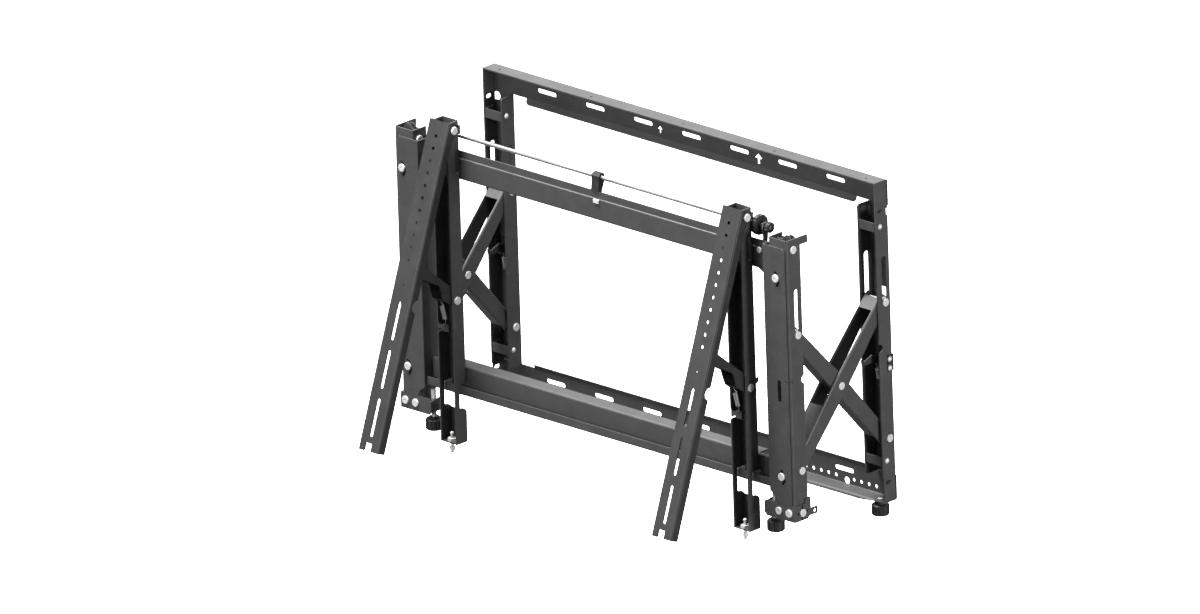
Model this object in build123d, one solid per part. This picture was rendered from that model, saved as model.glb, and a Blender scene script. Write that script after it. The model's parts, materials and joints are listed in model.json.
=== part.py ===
from build123d import *
import os
from math import asin, cos, degrees, pi, radians, sin, sqrt

# All sizes are in millimetres. The bench frame used below has x to the right seen from
# the room, y into the wall with 0 on the wall face, and z up from the wall frame's foot.
# save() lowers everything to put the origin in the middle of the wall slots.

# Wall frame
WALL_W = 856.0
WALL_Z = (-2.5, 531.5)
ORIGIN_Z = 265.0
WALL_D = 30.0
SHEET = 2.0
BEND = 3.5
POST_W = 40.0
TOP_RAIL_FOOT_Z = 488.0
LOW_RAIL_HEAD_Z = 38.0
LIP_H = 10.0
LIP_LEAN = 4.5
LIP_END_X = 360.0
LOW_LIP_H = 6.0
HEM_DROP = 3.2
HEM_X = (371.0, 406.0)
SLOT_PITCH = 105.0
SLOT_COUNT = 7
SLOT_L = 41.0
SLOT_H = 7.6
SLOT_Z = (23.0, 507.0)
FLANGE_HOLE_PITCH = 200.0
FLANGE_HOLE_R = 2.0
FLANGE_HOLE_Y = -19.5
ROW_PITCH = 16.4
ROW_HOLE_R = 3.2
ROW_Z = 9.4
ROW_STARTS = ((230.5, 5), (335.0, 4))
RELIEF_X = 320.0
RELIEF_R = 6.0
ARROW_Z = 502.0
ARROW_X = -68.0
BIG_ARROW_X = 147.0
TIE_SLOT_Y = -19.0
TIE_SLOT_L = 12.0
TIE_SLOT_R = 3.5
TIE_SLOT_Z = (31.0, 482.0)
CORNER_RELIEF_Z = 478.0
CORNER_RELIEF_R = 7.0
STRAP_Z = (67.0, 457.0)
STRAP_H = 15.0
STRAP_D = 20.0
FRONT_BITE = (-29.0, 255.6, 7.0)
SIGHT_HOLE_X = (406.0, 419.0)
SIGHT_HOLE_Z = (329.0, 350.0)
RIVET_R = 4.4
RIVET_SHANK_R = 2.4

# Scissor arms: both are the same length between pivots and cross at the middle
PIVOT_WALL_Y = -14.0
PIVOT_Z = 103.6
REACH_OPEN = 198.0
REACH_CLOSED = 46.0
PIVOT_RISE = 226.0
ARM_L = sqrt(REACH_OPEN ** 2 + PIVOT_RISE ** 2)
OPEN_ANGLE = degrees(asin(REACH_OPEN / ARM_L))
CLOSED_ANGLE = degrees(asin(REACH_CLOSED / ARM_L))
CLOSED_RISE = ARM_L * cos(radians(CLOSED_ANGLE))
PIVOT_FRONT_Y = PIVOT_WALL_Y - REACH_OPEN
POST_X = WALL_W / 2 - POST_W / 2
ARM_SHEET = 2.5
INNER_ARM_W = 24.0
OUTER_ARM_W = 33.0
ARM_TAIL = 11.0
INNER_ARM_FRONT = (13.3, 13.3)
OUTER_ARM_FRONT = (12.5, 17.5)
ARM_WEB_CORNER = 9.0
ARM_BACK_END = 11.5
ARM_BACK_MID = 15.5
ARM_MID_FLAT = 10.0
INNER_WEB = (20.0, ARM_L + 5)
OUTER_WEB = (-5.0, ARM_L)
OUTER_WINDOW = (106.0, 278.0)
HOOK_WINDOW = ((-4.0, 4.0), (114.0, 162.0))
OUTER_NOTCH = (15.6, 134.2, 2.4)
ARM_BEND = 3.0
PIN_R = 5.0
FRONT_PIN_R = 4.0
PIN_PLAY = 0.3
PIN_SHOULDER_R = 8.5
HEAD_R = 6.4
HEAD_T = 3.0
HEAD_EDGE = 0.9
SLIDE_SLOT_PLAY = 1.0

# Front frame
FACE_Y = -232.5
CHANNEL_Y = (-230.5, -200.0)
FRONT_POST_IN_X = 376.5
FRONT_POST_Z = (21.0, 474.0)
PLATE_Z = (58.0, 476.0)
PLATE_OUT_X = 424.0
PLATE_CORNER_R = 8.0
SLIT_PLACE = (405.0, 236.0)
SEAM_Z = 255.0
BACK_BITE = (-198.2, 253.5, 7.4)
CAP_TOP_Z = 490.0
CAP_PLATE_Z = 452.0
CAP_BOLT_Y = -217.0
CAP_BOLT_Z = 473.0
EAR_END_Y = -183.0
EAR_HOLE_Y = -186.8
EAR_HOLE_Z = (31.5, 484.0)
EAR_HOLE_R = 2.9
SHOE_EAR_END_Y = -181.0
SIDE_GAP = 0.4
FACE_BOLT_Z = (94.0, 424.5)
FACE_BOLT_SHIFT = -3.3
CURVED_SLOT_CENTRE = (-7.5, -2.2)
CURVED_SLOT_R = 13.2
CURVED_SLOT_TURNS = (-47.0, 63.0)
CURVED_SLOT_W = 4.0
SLOT_PLATE_T = 1.6
SHOE_IN_X = 364.0
SHOE_Z = (22.0, 48.0)
SHOE_SIDE_TOP_Z = 57.0
SHOE_BOLT_X = (397.0, 419.0)
SHOE_BOLT_Z = 36.0
SHOE_SIDE_BOLT_Y = -215.5

# Rails of the front frame
RAIL_FRONT_Y = -213.0
RAIL_END_X = FRONT_POST_IN_X - 0.3
TOP_RAIL_Z = (423.0, 457.5, 471.0)
TOP_RAIL_STEP = 2.0
TOP_RAIL_FOOT = 17.0
RAIL_BOLT_X = 352.0
RAIL_BOLT_Z = 455.0
LOW_RAIL_Z = (68.0, 112.0)
LOW_RAIL_BACK_Y = -188.0
LOW_RAIL_LIP_Y = -227.0
FLANGE_END_X = 333.0
LOW_RAIL_LIP_H = 15.0

# Uprights, hung on the two rails
UPRIGHT_X = 320.0
UPRIGHT_W = 35.0
UPRIGHT_Y = (-240.0, -213.5)
UPRIGHT_BOTTOM_Z = -12.0
FLOOR_RELIEF = 1.0
LEG_Z = (46.0, 86.0)
LEG_BACK_Y = -230.5
TILT_Y = -230.0
TILT_Z = 510.8
TILT_EYE_R = 12.0
LOCK_TRAVEL = 4.0
STAY_Y = -230.0
STAY_Z = 226.6
BOLT_R = 4.0
BOLT_HOLE_R = 4.3
RAIL_NOTCH_Z = (436.0, 474.8)
RAIL_NOTCH_D = 10.5
SPRING_TAB_Z = (173.0, 186.0)
SPRING_TAB_Y = -238.5

# Display brackets, tilted out about the top pivot
TILT_OPEN = 20.0
BRACKET_W = 44.0
BRACKET_D = 15.7
BRACKET_FACE = 13.7
BRACKET_TOP = 10.2
BRACKET_L = 533.0
HOLE_START = 14.4
HOLE_PITCH = 20.0
HOLE_COUNT = 11
HOLE_SINGLE = 12
HOLE_R = 2.9
LONG_SLOT_T = (312.4, 390.4, 468.4)
LONG_SLOT_L = 62.0
LONG_SLOT_W = 6.2
END_NOTCH_W = 14.0
END_NOTCH_H = 13.0
BOLT_NOTCH_R = 10.0

# Stay arms that prop the display brackets out
STAY_OPEN = 49.7
STAY_W = 28.0
STAY_EYE_R = 10.0
STAY_REACH = 106.0
SPRING_EYE = (-9.9, 16.3)

# Fine side adjuster
ROD_Y = -204.0
ROD_Z = 493.0
ROD_R = 3.5
ROD_BORE_R = 3.8
ROD_X = (-326.0, 368.0)
DISC_X = (339.5, 348.5)
DISC_R = 16.7
END_KNOB_X = (362.5, 370.0)
END_KNOB_R = 8.9
STAND_X = (354.6, 357.6)
CLIP_X = (-16.0, 0.0)

# Turning feet
KNOB_R = 14.3
KNOB_H = 18.0
KNOB_LOBES = 12
STUD_R = 4.0
WALL_FOOT_Y = -18.0
WALL_FOOT_TOP = -9.0
FRONT_FOOT_X = 373.0
FRONT_FOOT_Y = -217.0
FRONT_FOOT_TOP = 12.0
WALL_STUD_TOP = -0.5
FRONT_STUD_TOP = 60.0

# Push latch in each wall post
LATCH_Y = -10.0
LATCH_Z = 231.0
LATCH_SWING = 20.0
LATCH_T = 3.0
LATCH_RIVET_Y = -8.5
LATCH_PLATE_T = 1.4
LATCH_SPRING_EYE = (-8.0, -2.0)
LATCH_ANCHOR = (-10.5, 188.0)

# Pull pins at the foot of the uprights
PULL_Y = -232.0
PULL_PIN_R = 2.5
BEAD_R = 4.4
RING_R = 6.5
RING_WIRE_R = 0.7

# Springs
SPRING_R = 3.1
SPRING_WIRE_R = 0.5
SPRING_TURNS = 16
LATCH_SPRING_TURNS = 12
SPRING_LEAST_GAP = 0.4


def block(x, y, z):
    """A box between two x, two y and two z values."""
    size = [abs(span[1] - span[0]) for span in (x, y, z)]
    middle = [(span[0] + span[1]) / 2 for span in (x, y, z)]
    return Pos(*middle) * Box(*size)


def across(sketch, start, end):
    """A sketch drawn in y and z, made solid between two x values."""
    side = Plane(origin=(start, 0, 0), x_dir=(0, 1, 0), z_dir=(1, 0, 0))
    return extrude(side * sketch, amount=end - start, dir=(1, 0, 0))


def through(sketch, start, end):
    """A sketch drawn in x and z, made solid between two y values."""
    face = Plane(origin=(0, end, 0), x_dir=(1, 0, 0), z_dir=(0, -1, 0))
    return extrude(face * sketch, amount=end - start, dir=(0, -1, 0))


def upward(sketch, start, end):
    """A sketch drawn in x and y, made solid between two z values."""
    return extrude(Pos(0, 0, start) * sketch, amount=end - start, dir=(0, 0, 1))


def outline(*points, radius=0.0):
    shape = Polygon(*points, align=None)
    if radius:
        shape = fillet(shape.vertices(), radius)
    return shape


def disc(place, radius):
    return Pos(*place) * Circle(radius)


def long_hole(place, length, height, turn=0.0):
    return Pos(*place) * Rot(Z=turn) * SlotOverall(length, height)


def channel(width, depth, wall=SHEET, bend=BEND):
    """A U section with its web on y = 0 and its open side towards -y."""
    outer = Pos(0, -depth / 2) * Rectangle(width, depth)
    outer = fillet(outer.vertices().sort_by(Axis.Y)[-2:], bend)
    inner = Pos(0, -wall - depth / 2) * Rectangle(width - 2 * wall, depth)
    inner = fillet(inner.vertices().sort_by(Axis.Y)[-2:], bend - wall)
    return outer - inner


def bent_strip(points, wall=SHEET, bend=BEND):
    """A strip of sheet seen end on: its centre line through the points, bends rounded."""
    line = FilletPolyline(*points, radius=bend - wall / 2)
    return trace(line, wall)


def bolt_head(shank_r, shank_l, head_r=HEAD_R, head_t=HEAD_T):
    """A round headed bolt that stands on z = 0, with its shank below."""
    head = Pos(0, 0, head_t / 2) * Cylinder(head_r, head_t)
    head = fillet(head.edges().sort_by(Axis.Z)[-1], HEAD_EDGE)
    mark = Pos(0, 0, head_t) * Cylinder(head_r * 0.3, 0.8)
    return head - mark + Pos(0, 0, -shank_l / 2) * Cylinder(shank_r, shank_l)


def facing_front(x, y, z, solid):
    return Pos(x, y, z) * Rot(X=90) * solid


def facing_side(x, y, z, solid, side=1):
    return Pos(x, y, z) * Rot(Y=90 * side) * solid


def mirrored(solid):
    return mirror(solid, about=Plane.YZ)


def at_arm(y, z, angle, solid):
    return Pos(0, y, z) * Rot(X=angle) * solid


# Wall frame


def slot_row(z):
    places = [(i - (SLOT_COUNT - 1) / 2) * SLOT_PITCH for i in range(SLOT_COUNT)]
    return Sketch() + [long_hole((x, z), SLOT_L, SLOT_H) for x in places]


def arrow(x, z, size):
    """A plain upward arrow: a head over a short shaft."""
    head = outline((x - size, z), (x + size, z), (x, z + size))
    shaft = outline((x - size / 3, z - size), (x + size / 3, z - size),
                    (x + size / 3, z), (x - size / 3, z))
    return head + shaft


def wall_top_rail():
    top = WALL_Z[1] - SHEET / 2
    back = -SHEET / 2
    foot = TOP_RAIL_FOOT_Z
    strip = bent_strip([(-WALL_D, top), (back, top), (back, foot)])
    rail = across(strip, -WALL_W / 2, WALL_W / 2)
    lip = outline((-SHEET, foot + 1), (0, foot + 1), (0, foot),
                  (SHEET - LIP_LEAN, foot - LIP_H), (-LIP_LEAN, foot - LIP_H))
    lip_shape = block((-LIP_END_X, LIP_END_X), (-WALL_D, 1), (foot - LIP_H, foot + 1))
    low_corners = lip_shape.edges().filter_by(Axis.Y).sort_by(Axis.Z)[:2]
    rail += across(lip, -LIP_END_X, LIP_END_X) & fillet(low_corners, LIP_H * 0.6)
    cuts = slot_row(SLOT_Z[1])
    cuts += arrow(ARROW_X, ARROW_Z, 6.0)
    cuts += arrow(BIG_ARROW_X, ARROW_Z, 9.0)
    rail -= through(cuts, -SHEET - 1, 1)
    holes = Sketch() + [disc(((i - 2) * FLANGE_HOLE_PITCH, FLANGE_HOLE_Y), FLANGE_HOLE_R)
                        for i in range(5)]
    return rail - upward(holes, WALL_Z[1] - SHEET - 1, WALL_Z[1] + 1)


def wall_bottom_rail():
    """Bottom rail: web on the wall, foot flange, and a hem rolled down along its middle."""
    low = WALL_Z[0] + SHEET / 2
    back = -SHEET / 2
    head = LOW_RAIL_HEAD_Z
    rail = across(bent_strip([(-WALL_D, low), (back, low), (back, head)]), -WALL_W / 2, WALL_W / 2)
    drop = WALL_Z[0] - HEM_DROP
    hem = outline((-HEM_X[1], WALL_Z[0]), (-HEM_X[0], drop), (HEM_X[0], drop), (HEM_X[1], WALL_Z[0]),
                  (HEM_X[0], WALL_Z[1]), (-HEM_X[0], WALL_Z[1]))
    front = -WALL_D + SHEET / 2
    rolled = trace(FilletPolyline((front, drop), (front, low), (back, low), radius=HEM_DROP), SHEET)
    rolled = across(rolled, -HEM_X[1], HEM_X[1]) & through(hem, -WALL_D - 1, -WALL_D / 2)
    flange = block((-HEM_X[1], HEM_X[1]), (-WALL_D - 1, -WALL_D / 2), (WALL_Z[0] - 1, WALL_Z[0] + 4))
    rail = rail - flange + rolled
    rail += block((HEM_X[1] - 0.01, WALL_W / 2), (-WALL_D, -WALL_D / 2), (WALL_Z[0], WALL_Z[0] + SHEET))
    rail += block((-WALL_W / 2, 0.01 - HEM_X[1]), (-WALL_D, -WALL_D / 2), (WALL_Z[0], WALL_Z[0] + SHEET))
    lip = outline((-SHEET, head - 1), (0, head - 1), (0, head),
                  (SHEET - LIP_LEAN, head + LOW_LIP_H), (-LIP_LEAN, head + LOW_LIP_H))
    rail += across(lip, -LIP_END_X, LIP_END_X)
    cuts = slot_row(SLOT_Z[0])
    for first, count in ROW_STARTS:
        for i in range(count):
            x = first + i * ROW_PITCH
            cuts += disc((x, ROW_Z), ROW_HOLE_R)
            cuts += disc((-x, ROW_Z), ROW_HOLE_R)
    rail -= through(cuts, -SHEET - 1, 1)
    relief = disc((RELIEF_X, RELIEF_R - 1), RELIEF_R) + disc((-RELIEF_X, RELIEF_R - 1), RELIEF_R)
    rail -= through(relief, -BEND - SHEET, 1)
    studs = disc((POST_X, WALL_FOOT_Y), BOLT_HOLE_R) + disc((-POST_X, WALL_FOOT_Y), BOLT_HOLE_R)
    return rail - upward(studs, WALL_Z[0] - 1, WALL_Z[0] + SHEET + 1)


def wall_post():
    """The right post; the rails close its top and foot."""
    low = LOW_RAIL_HEAD_Z + 1
    high = TOP_RAIL_FOOT_Z
    out_x = WALL_W / 2
    post = upward(Pos(POST_X, 0) * channel(POST_W, WALL_D), low, high)
    front_corner = post.edges().filter_by(Axis.X).group_by(Axis.Y)[0].group_by(Axis.X)[0]
    post = fillet(front_corner, 4.0)
    post += block((out_x - SHEET, out_x), (-WALL_D, -BEND), (high, WALL_Z[1] - SHEET))
    post += block((out_x - SHEET, out_x), (-WALL_D + SHEET, -BEND), (WALL_Z[0] + SHEET, low))
    slide = slide_slot(PIVOT_WALL_Y, PIN_R) + disc((PIVOT_WALL_Y, PIVOT_Z), PIN_R)
    post -= across(slide, out_x - POST_W - 1, out_x + 1)
    y, z, radius = FRONT_BITE
    post -= across(disc((y, z), radius), out_x - SHEET - 1, out_x + 1)
    post -= block(SIGHT_HOLE_X, (-SHEET - 1, 1), SIGHT_HOLE_Z)
    for z in TIE_SLOT_Z:
        post -= across(long_hole((TIE_SLOT_Y, z), TIE_SLOT_L, 2 * TIE_SLOT_R),
                       out_x - SHEET - 1, out_x + 1)
    relief = disc((out_x - CORNER_RELIEF_R / 2, CORNER_RELIEF_Z), CORNER_RELIEF_R)
    post -= through(relief, -BEND - SHEET, 1)
    rivets = Sketch() + [disc((STRAP_D / 2 - WALL_D, z), RIVET_SHANK_R) for z in STRAP_Z]
    post -= across(rivets, out_x - POST_W - 1, out_x + 1)
    plate_rivets = Sketch() + [disc(place, RIVET_SHANK_R) for place in latch_rivet_places()]
    return post - across(plate_rivets, out_x - SHEET - 1, out_x + 1)


def slide_slot(y, pin_r):
    """The long slot that a slide pin rises in as the arms fold."""
    low = PIVOT_Z + PIVOT_RISE - SLIDE_SLOT_PLAY
    high = PIVOT_Z + CLOSED_RISE + SLIDE_SLOT_PLAY
    width = 2 * (pin_r + PIN_PLAY)
    return long_hole((y, (low + high) / 2), high - low + width, width, 90)


def post_straps():
    """The two ties across the open side of the right post."""
    section = Pos(POST_X, -WALL_D) * Rot(Z=180) * channel(POST_W - 2 * SHEET, STRAP_D, 1.6, 2.6)
    straps = Part()
    for z in STRAP_Z:
        strap = upward(section, z - STRAP_H / 2, z + STRAP_H / 2)
        hole = disc((STRAP_D / 2 - WALL_D, z), RIVET_SHANK_R)
        straps += strap - across(hole, POST_X - POST_W, POST_X + POST_W)
    return straps


def rivet(shank_l):
    head = Pos(0, 0, -RIVET_R * 0.6) * Sphere(RIVET_R * 1.17)
    head = head & block((-9, 9), (-9, 9), (0, 9))
    return head + Pos(0, 0, -shank_l / 2) * Cylinder(RIVET_SHANK_R, shank_l)


def latch_rivet_places():
    return [(LATCH_RIVET_Y, LATCH_Z + 3), (LATCH_RIVET_Y, LATCH_Z - 12)]


def post_rivets():
    """The small rivets of the right post's ties and latch."""
    out_x = WALL_W / 2
    rivets = Part()
    for z in STRAP_Z:
        y = STRAP_D / 2 - WALL_D
        rivets += facing_side(out_x, y, z, rivet(SHEET + 1.5))
        rivets += facing_side(out_x - POST_W, y, z, rivet(SHEET + 1.5), -1)
    for y, z in latch_rivet_places():
        rivets += facing_side(out_x + LATCH_PLATE_T, y, z, rivet(2 * SHEET + 1.5))
    return rivets


def shoulder_pin(arm_w, pin_r):
    """A riveted pin along x in a post's two walls, with collars down to the arm."""
    pin = Part()
    wide = POST_W / 2
    start = arm_w / 2 + PIN_PLAY
    end = wide - SHEET - PIN_PLAY
    for side in (-1, 1):
        pin += facing_side(side * (wide + 0.1), 0, 0, bolt_head(pin_r, wide + 0.1), side)
        middle = side * (start + end) / 2
        pin += Pos(middle, 0, 0) * Rot(Y=90) * Cylinder(PIN_SHOULDER_R, end - start)
    return pin


def wall_pivot_pin():
    return Pos(POST_X, PIVOT_WALL_Y, PIVOT_Z) * shoulder_pin(INNER_ARM_W, PIN_R)


# Scissor arms


def arm_side(end, middle):
    """Side view of an arm stood upright; end and middle are how far its web stands off."""
    low = ARM_L / 2 - ARM_MID_FLAT
    high = ARM_L / 2 + ARM_MID_FLAT
    side = Polygon((-end, -ARM_TAIL), (-middle, low), (-middle, high), (-end, ARM_L + ARM_TAIL),
                   (ARM_BACK_END, ARM_L + ARM_TAIL), (ARM_BACK_MID, high), (ARM_BACK_MID, low),
                   (ARM_BACK_END, -ARM_TAIL), align=None)
    ends = side.vertices().sort_by(Axis.Y)
    corners = [*ends[:2], *ends[-2:]]
    back = [v for v in corners if v.X > 0]
    side = fillet(back, ARM_BACK_END - 0.5)
    front = [v for v in side.vertices() if v.X < 0.5 - end
             and (v.Y < -ARM_TAIL + 1 or v.Y > ARM_L + ARM_TAIL - 1)]
    return fillet(front, ARM_WEB_CORNER)


def arm(width, front, web, foot_r, head_r):
    """A channel arm stood upright; the radii are those of its foot bore and head bore."""
    side = arm_side(*front)
    end, middle = front
    body = across(side, -width / 2, width / 2)
    rims = [e for e in body.edges() if abs(abs(e.center().X) - width / 2) < 0.01
            and e.center().Y < 3 - end]
    body = fillet(rims, ARM_BEND)
    hollow = across(Pos(ARM_SHEET, 0) * side, ARM_SHEET - width / 2, width / 2 - ARM_SHEET)
    hollow += across(side & Rectangle(2 * end - 5, 3 * ARM_L),
                     ARM_SHEET - width / 2, width / 2 - ARM_SHEET)
    body -= hollow
    for open_end in ((-2 * ARM_TAIL, web[0]), (web[1], ARM_L + 2 * ARM_TAIL)):
        body -= block((ARM_SHEET - width / 2, width / 2 - ARM_SHEET), (-2 * middle, 0), open_end)
    holes = disc((0, 0), foot_r + PIN_PLAY) + disc((0, ARM_L), head_r)
    return body - across(holes, -width, width)


def inner_arm():
    """Channel arm from the fixed wall pivot up to the front slide pin."""
    body = arm(INNER_ARM_W, INNER_ARM_FRONT, INNER_WEB, PIN_R, FRONT_PIN_R)
    body -= block(HOOK_WINDOW[0], (-2 * ARM_TAIL, 0), HOOK_WINDOW[1])
    body -= across(disc((0, ARM_L / 2), PIN_R), -INNER_ARM_W, INNER_ARM_W)
    return at_arm(PIVOT_WALL_Y, PIVOT_Z, OPEN_ANGLE, body)


def outer_arm():
    """Wider channel arm whose web is open in the middle for the inner arm."""
    body = arm(OUTER_ARM_W, OUTER_ARM_FRONT, OUTER_WEB, FRONT_PIN_R, PIN_R)
    body -= across(disc((0, ARM_L / 2), PIN_R + PIN_PLAY), -OUTER_ARM_W, OUTER_ARM_W)
    reach = OUTER_ARM_W / 2 - ARM_SHEET
    end, middle = OUTER_ARM_FRONT
    body -= block((-reach, reach), (-2 * middle, ARM_SHEET - end), OUTER_WINDOW)
    y, t, radius = OUTER_NOTCH
    body -= across(disc((y, t), radius), -OUTER_ARM_W, OUTER_ARM_W)
    return at_arm(PIVOT_FRONT_Y, PIVOT_Z, -OPEN_ANGLE, body)


def slide_pin(y, arm_w, pin_r):
    return Pos(POST_X, y, PIVOT_Z + PIVOT_RISE) * shoulder_pin(arm_w, pin_r)


def cross_bolt():
    """The bolt where the two arms cross."""
    half = OUTER_ARM_W / 2
    bolt = Rot(Y=90) * Cylinder(PIN_R, 2 * half)
    for side in (-1, 1):
        bolt += facing_side(side * half, 0, 0, bolt_head(PIN_R, 1, HEAD_R, 1.2), side)
    return Pos(POST_X, (PIVOT_WALL_Y + PIVOT_FRONT_Y) / 2, PIVOT_Z + PIVOT_RISE / 2) * bolt


# Push latches in the wall posts


def latch_bracket():
    out_x = WALL_W / 2
    inside = out_x - SHEET
    base = block((POST_X - 4, inside - 1.8), (-4.2, -SHEET), (LATCH_ANCHOR[1] - 4, LATCH_Z + 14))
    flange = block((inside - SHEET, inside), (-16, -BEND), (LATCH_Z - 17, LATCH_Z + 10))
    bracket = base + flange
    for x in (POST_X - 4, POST_X + 2.4):
        bracket += block((x, x + 1.6), (-15, -4.2), (LATCH_Z - 10, LATCH_Z + 8))
    anchor = block((POST_X - 4, POST_X + 4), (LATCH_ANCHOR[0] - 2.5, -4.2),
                   (LATCH_ANCHOR[1] - 1.6, LATCH_ANCHOR[1]))
    bracket += anchor
    bracket -= across(disc((LATCH_Y, LATCH_Z), 3.0), POST_X - 9, POST_X + 9)
    rivets = Sketch() + [disc(place, RIVET_SHANK_R) for place in latch_rivet_places()]
    bracket -= across(rivets, inside - SHEET - 1, inside + 1)
    plate = block((out_x, out_x + LATCH_PLATE_T), (-13, 0), (LATCH_Z - 17, LATCH_Z + 10))
    return bracket + (plate - across(rivets, out_x - 1, out_x + SHEET + 1))


def latch_pin():
    return Pos(POST_X, LATCH_Y, LATCH_Z) * Rot(Y=90) * Cylinder(2.95, 9.6)


def latch_hook():
    """Hook that holds the cross bolt once the mount is pushed home; drawn let go."""
    side = outline((3.8, -4), (3.8, 3), (-4, 8), (-12, 15.2), (-33, 15.2), (-33, 20), (-35, 21.5),
                   (-37, 17), (-37, 10), (-16, 3), (-5, -5), radius=0.8)
    side -= disc((0, 0), 3.25)
    side -= disc(LATCH_SPRING_EYE, 0.9)
    hook = across(side, -LATCH_T / 2, LATCH_T / 2)
    return Pos(POST_X, LATCH_Y, LATCH_Z) * Rot(X=LATCH_SWING) * hook


def latch_spring():
    turn = radians(LATCH_SWING)
    y, z = LATCH_SPRING_EYE
    top = (POST_X, LATCH_Y + y * cos(turn) - z * sin(turn), LATCH_Z + y * sin(turn) + z * cos(turn))
    foot = (POST_X, LATCH_ANCHOR[0], LATCH_ANCHOR[1] + 0.3)
    return coil_spring(foot, top, LATCH_SPRING_TURNS, 0.3, 2.2)


# Springs


def unit(vector):
    return vector * (1 / vector.length)


def biarc(start, start_way, end, end_way):
    """Two arcs that leave start along start_way and reach end along end_way."""
    chord = end - start
    both = start_way + end_way
    spread = 2 * (1 - start_way.dot(end_way))
    reach = (sqrt(chord.dot(both) ** 2 + spread * chord.dot(chord)) - chord.dot(both)) / spread
    middle = (start + start_way * reach + end - end_way * reach) * 0.5
    first = TangentArc(start, middle, tangent=start_way)
    return [first, TangentArc(middle, end, tangent=first % 1)]


def coil_spring(foot, head, turns, foot_gap, head_gap):
    """A tension spring between two points: one unbroken wire, led in along its axis."""
    foot = Vector(*foot)
    head = Vector(*head)
    length = (head - foot).length
    lead = 3 * SPRING_R
    low = foot_gap + lead
    coil = length - low - head_gap - lead
    pitch = coil / turns
    gap = pitch * cos(pitch / (2 * pi * SPRING_R)) - 2 * SPRING_WIRE_R
    print("spring turns", turns, "least gap", round(gap, 3), "over", SPRING_LEAST_GAP)
    steps = 4 * turns
    places = []
    for i in range(steps + 1):
        a = i * pi / 2
        way = unit(Vector(-sin(a) * SPRING_R, cos(a) * SPRING_R, pitch / (2 * pi)))
        places.append((Vector(SPRING_R * cos(a), SPRING_R * sin(a), low + i * pitch / 4), way))
    up = Vector(0, 0, 1)
    edges = [Line((0, 0, foot_gap), (0, 0, foot_gap + 2 * SPRING_WIRE_R))]
    edges += biarc(Vector(0, 0, foot_gap + 2 * SPRING_WIRE_R), up, *places[0])
    for here, there in zip(places, places[1:]):
        edges += biarc(*here, *there)
    top = length - head_gap
    edges += biarc(*places[-1], Vector(0, 0, top - 2 * SPRING_WIRE_R), up)
    edges.append(Line((0, 0, top - 2 * SPRING_WIRE_R), (0, 0, top)))
    path = Wire(edges)
    spring = sweep(Plane(origin=path @ 0, z_dir=path % 0) * Circle(SPRING_WIRE_R), path=path)
    return Plane(origin=foot, x_dir=(1, 0, 0), z_dir=unit(head - foot)) * spring


# Front frame


def front_channel():
    """The U channel at the core of the right front post."""
    depth = CHANNEL_Y[1] - CHANNEL_Y[0]
    return upward(Pos(POST_X, CHANNEL_Y[0]) * Rot(Z=180) * channel(POST_W, depth), *FRONT_POST_Z)


def front_plate():
    """The face plate welded on the channel; its inner edge is bent back as a wall."""
    low, high = PLATE_Z
    wall_x = (FRONT_POST_IN_X, FRONT_POST_IN_X + SHEET)
    foot_z = SHOE_Z[1] + 0.5
    face = outline((wall_x[0], low + 9), (WALL_W / 2 - POST_W, low), (WALL_W / 2 - POST_W + 4, foot_z),
                   (PLATE_OUT_X, foot_z), (PLATE_OUT_X, high), (wall_x[0], high))
    face = fillet(face.vertices().group_by(Axis.Y)[-1].sort_by(Axis.X)[-1], PLATE_CORNER_R)
    plate = through(face, FACE_Y, FACE_Y + SHEET)
    plate += block(wall_x, (FACE_Y, CHANNEL_Y[1]), (low + 9, high))
    edge = plate.edges().filter_by(Axis.Z).sort_by(lambda e: e.center().X + e.center().Y)[0]
    return fillet(edge, BEND - 2)


def front_post():
    """The right front post: channel and face plate, with its slots and bores."""
    out_x = WALL_W / 2
    post = front_channel() + front_plate()
    slide = slide_slot(PIVOT_FRONT_Y, FRONT_PIN_R) + disc((PIVOT_FRONT_Y, PIVOT_Z), FRONT_PIN_R)
    post -= across(slide, out_x - POST_W - 1, out_x + 1)
    y, z, radius = BACK_BITE
    post -= across(disc((y, z), radius), out_x - SHEET - 1, out_x + 1)
    post -= through(long_hole(SLIT_PLACE, 38, 7.5, 90), FACE_Y - 1, CHANNEL_Y[0] + SHEET + 1)
    seam = (SEAM_Z - 1.1, SEAM_Z + 1.1)
    post -= block((PLATE_OUT_X - 7, PLATE_OUT_X + 1), (FACE_Y - 1, FACE_Y + SHEET), seam)
    post -= block((PLATE_OUT_X, out_x + 1), (FACE_Y - 1, CHANNEL_Y[0] + 1), seam)
    post -= block((out_x - 1, out_x + 1), (FACE_Y - 1, CHANNEL_Y[0] + 5), seam)
    post -= block((PLATE_OUT_X, PLATE_OUT_X + 1.2), (CHANNEL_Y[0] - 1, CHANNEL_Y[0] + 0.9),
                  (SHOE_Z[1] + 0.5, FRONT_POST_Z[1] + 1))
    return post - across(disc((CAP_BOLT_Y, CAP_BOLT_Z), RIVET_SHANK_R), out_x - POST_W - 1, out_x + 1)


def face_bolt_x(side):
    return side * POST_X + FACE_BOLT_SHIFT


def face_cuts(side):
    """Bolt bores and curved slots of a post's face; both posts have the same hand."""
    cuts = Sketch()
    x = face_bolt_x(side)
    first, last = CURVED_SLOT_TURNS
    for z in FACE_BOLT_Z:
        cuts += disc((x, z), RIVET_SHANK_R)
        centre = (x + CURVED_SLOT_CENTRE[0], z + CURVED_SLOT_CENTRE[1])
        cuts += SlotArc(CenterArc(centre, CURVED_SLOT_R, first, last - first), CURVED_SLOT_W)
    return through(cuts, FACE_Y - 1, CHANNEL_Y[0] + SHEET + 0.5)


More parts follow.
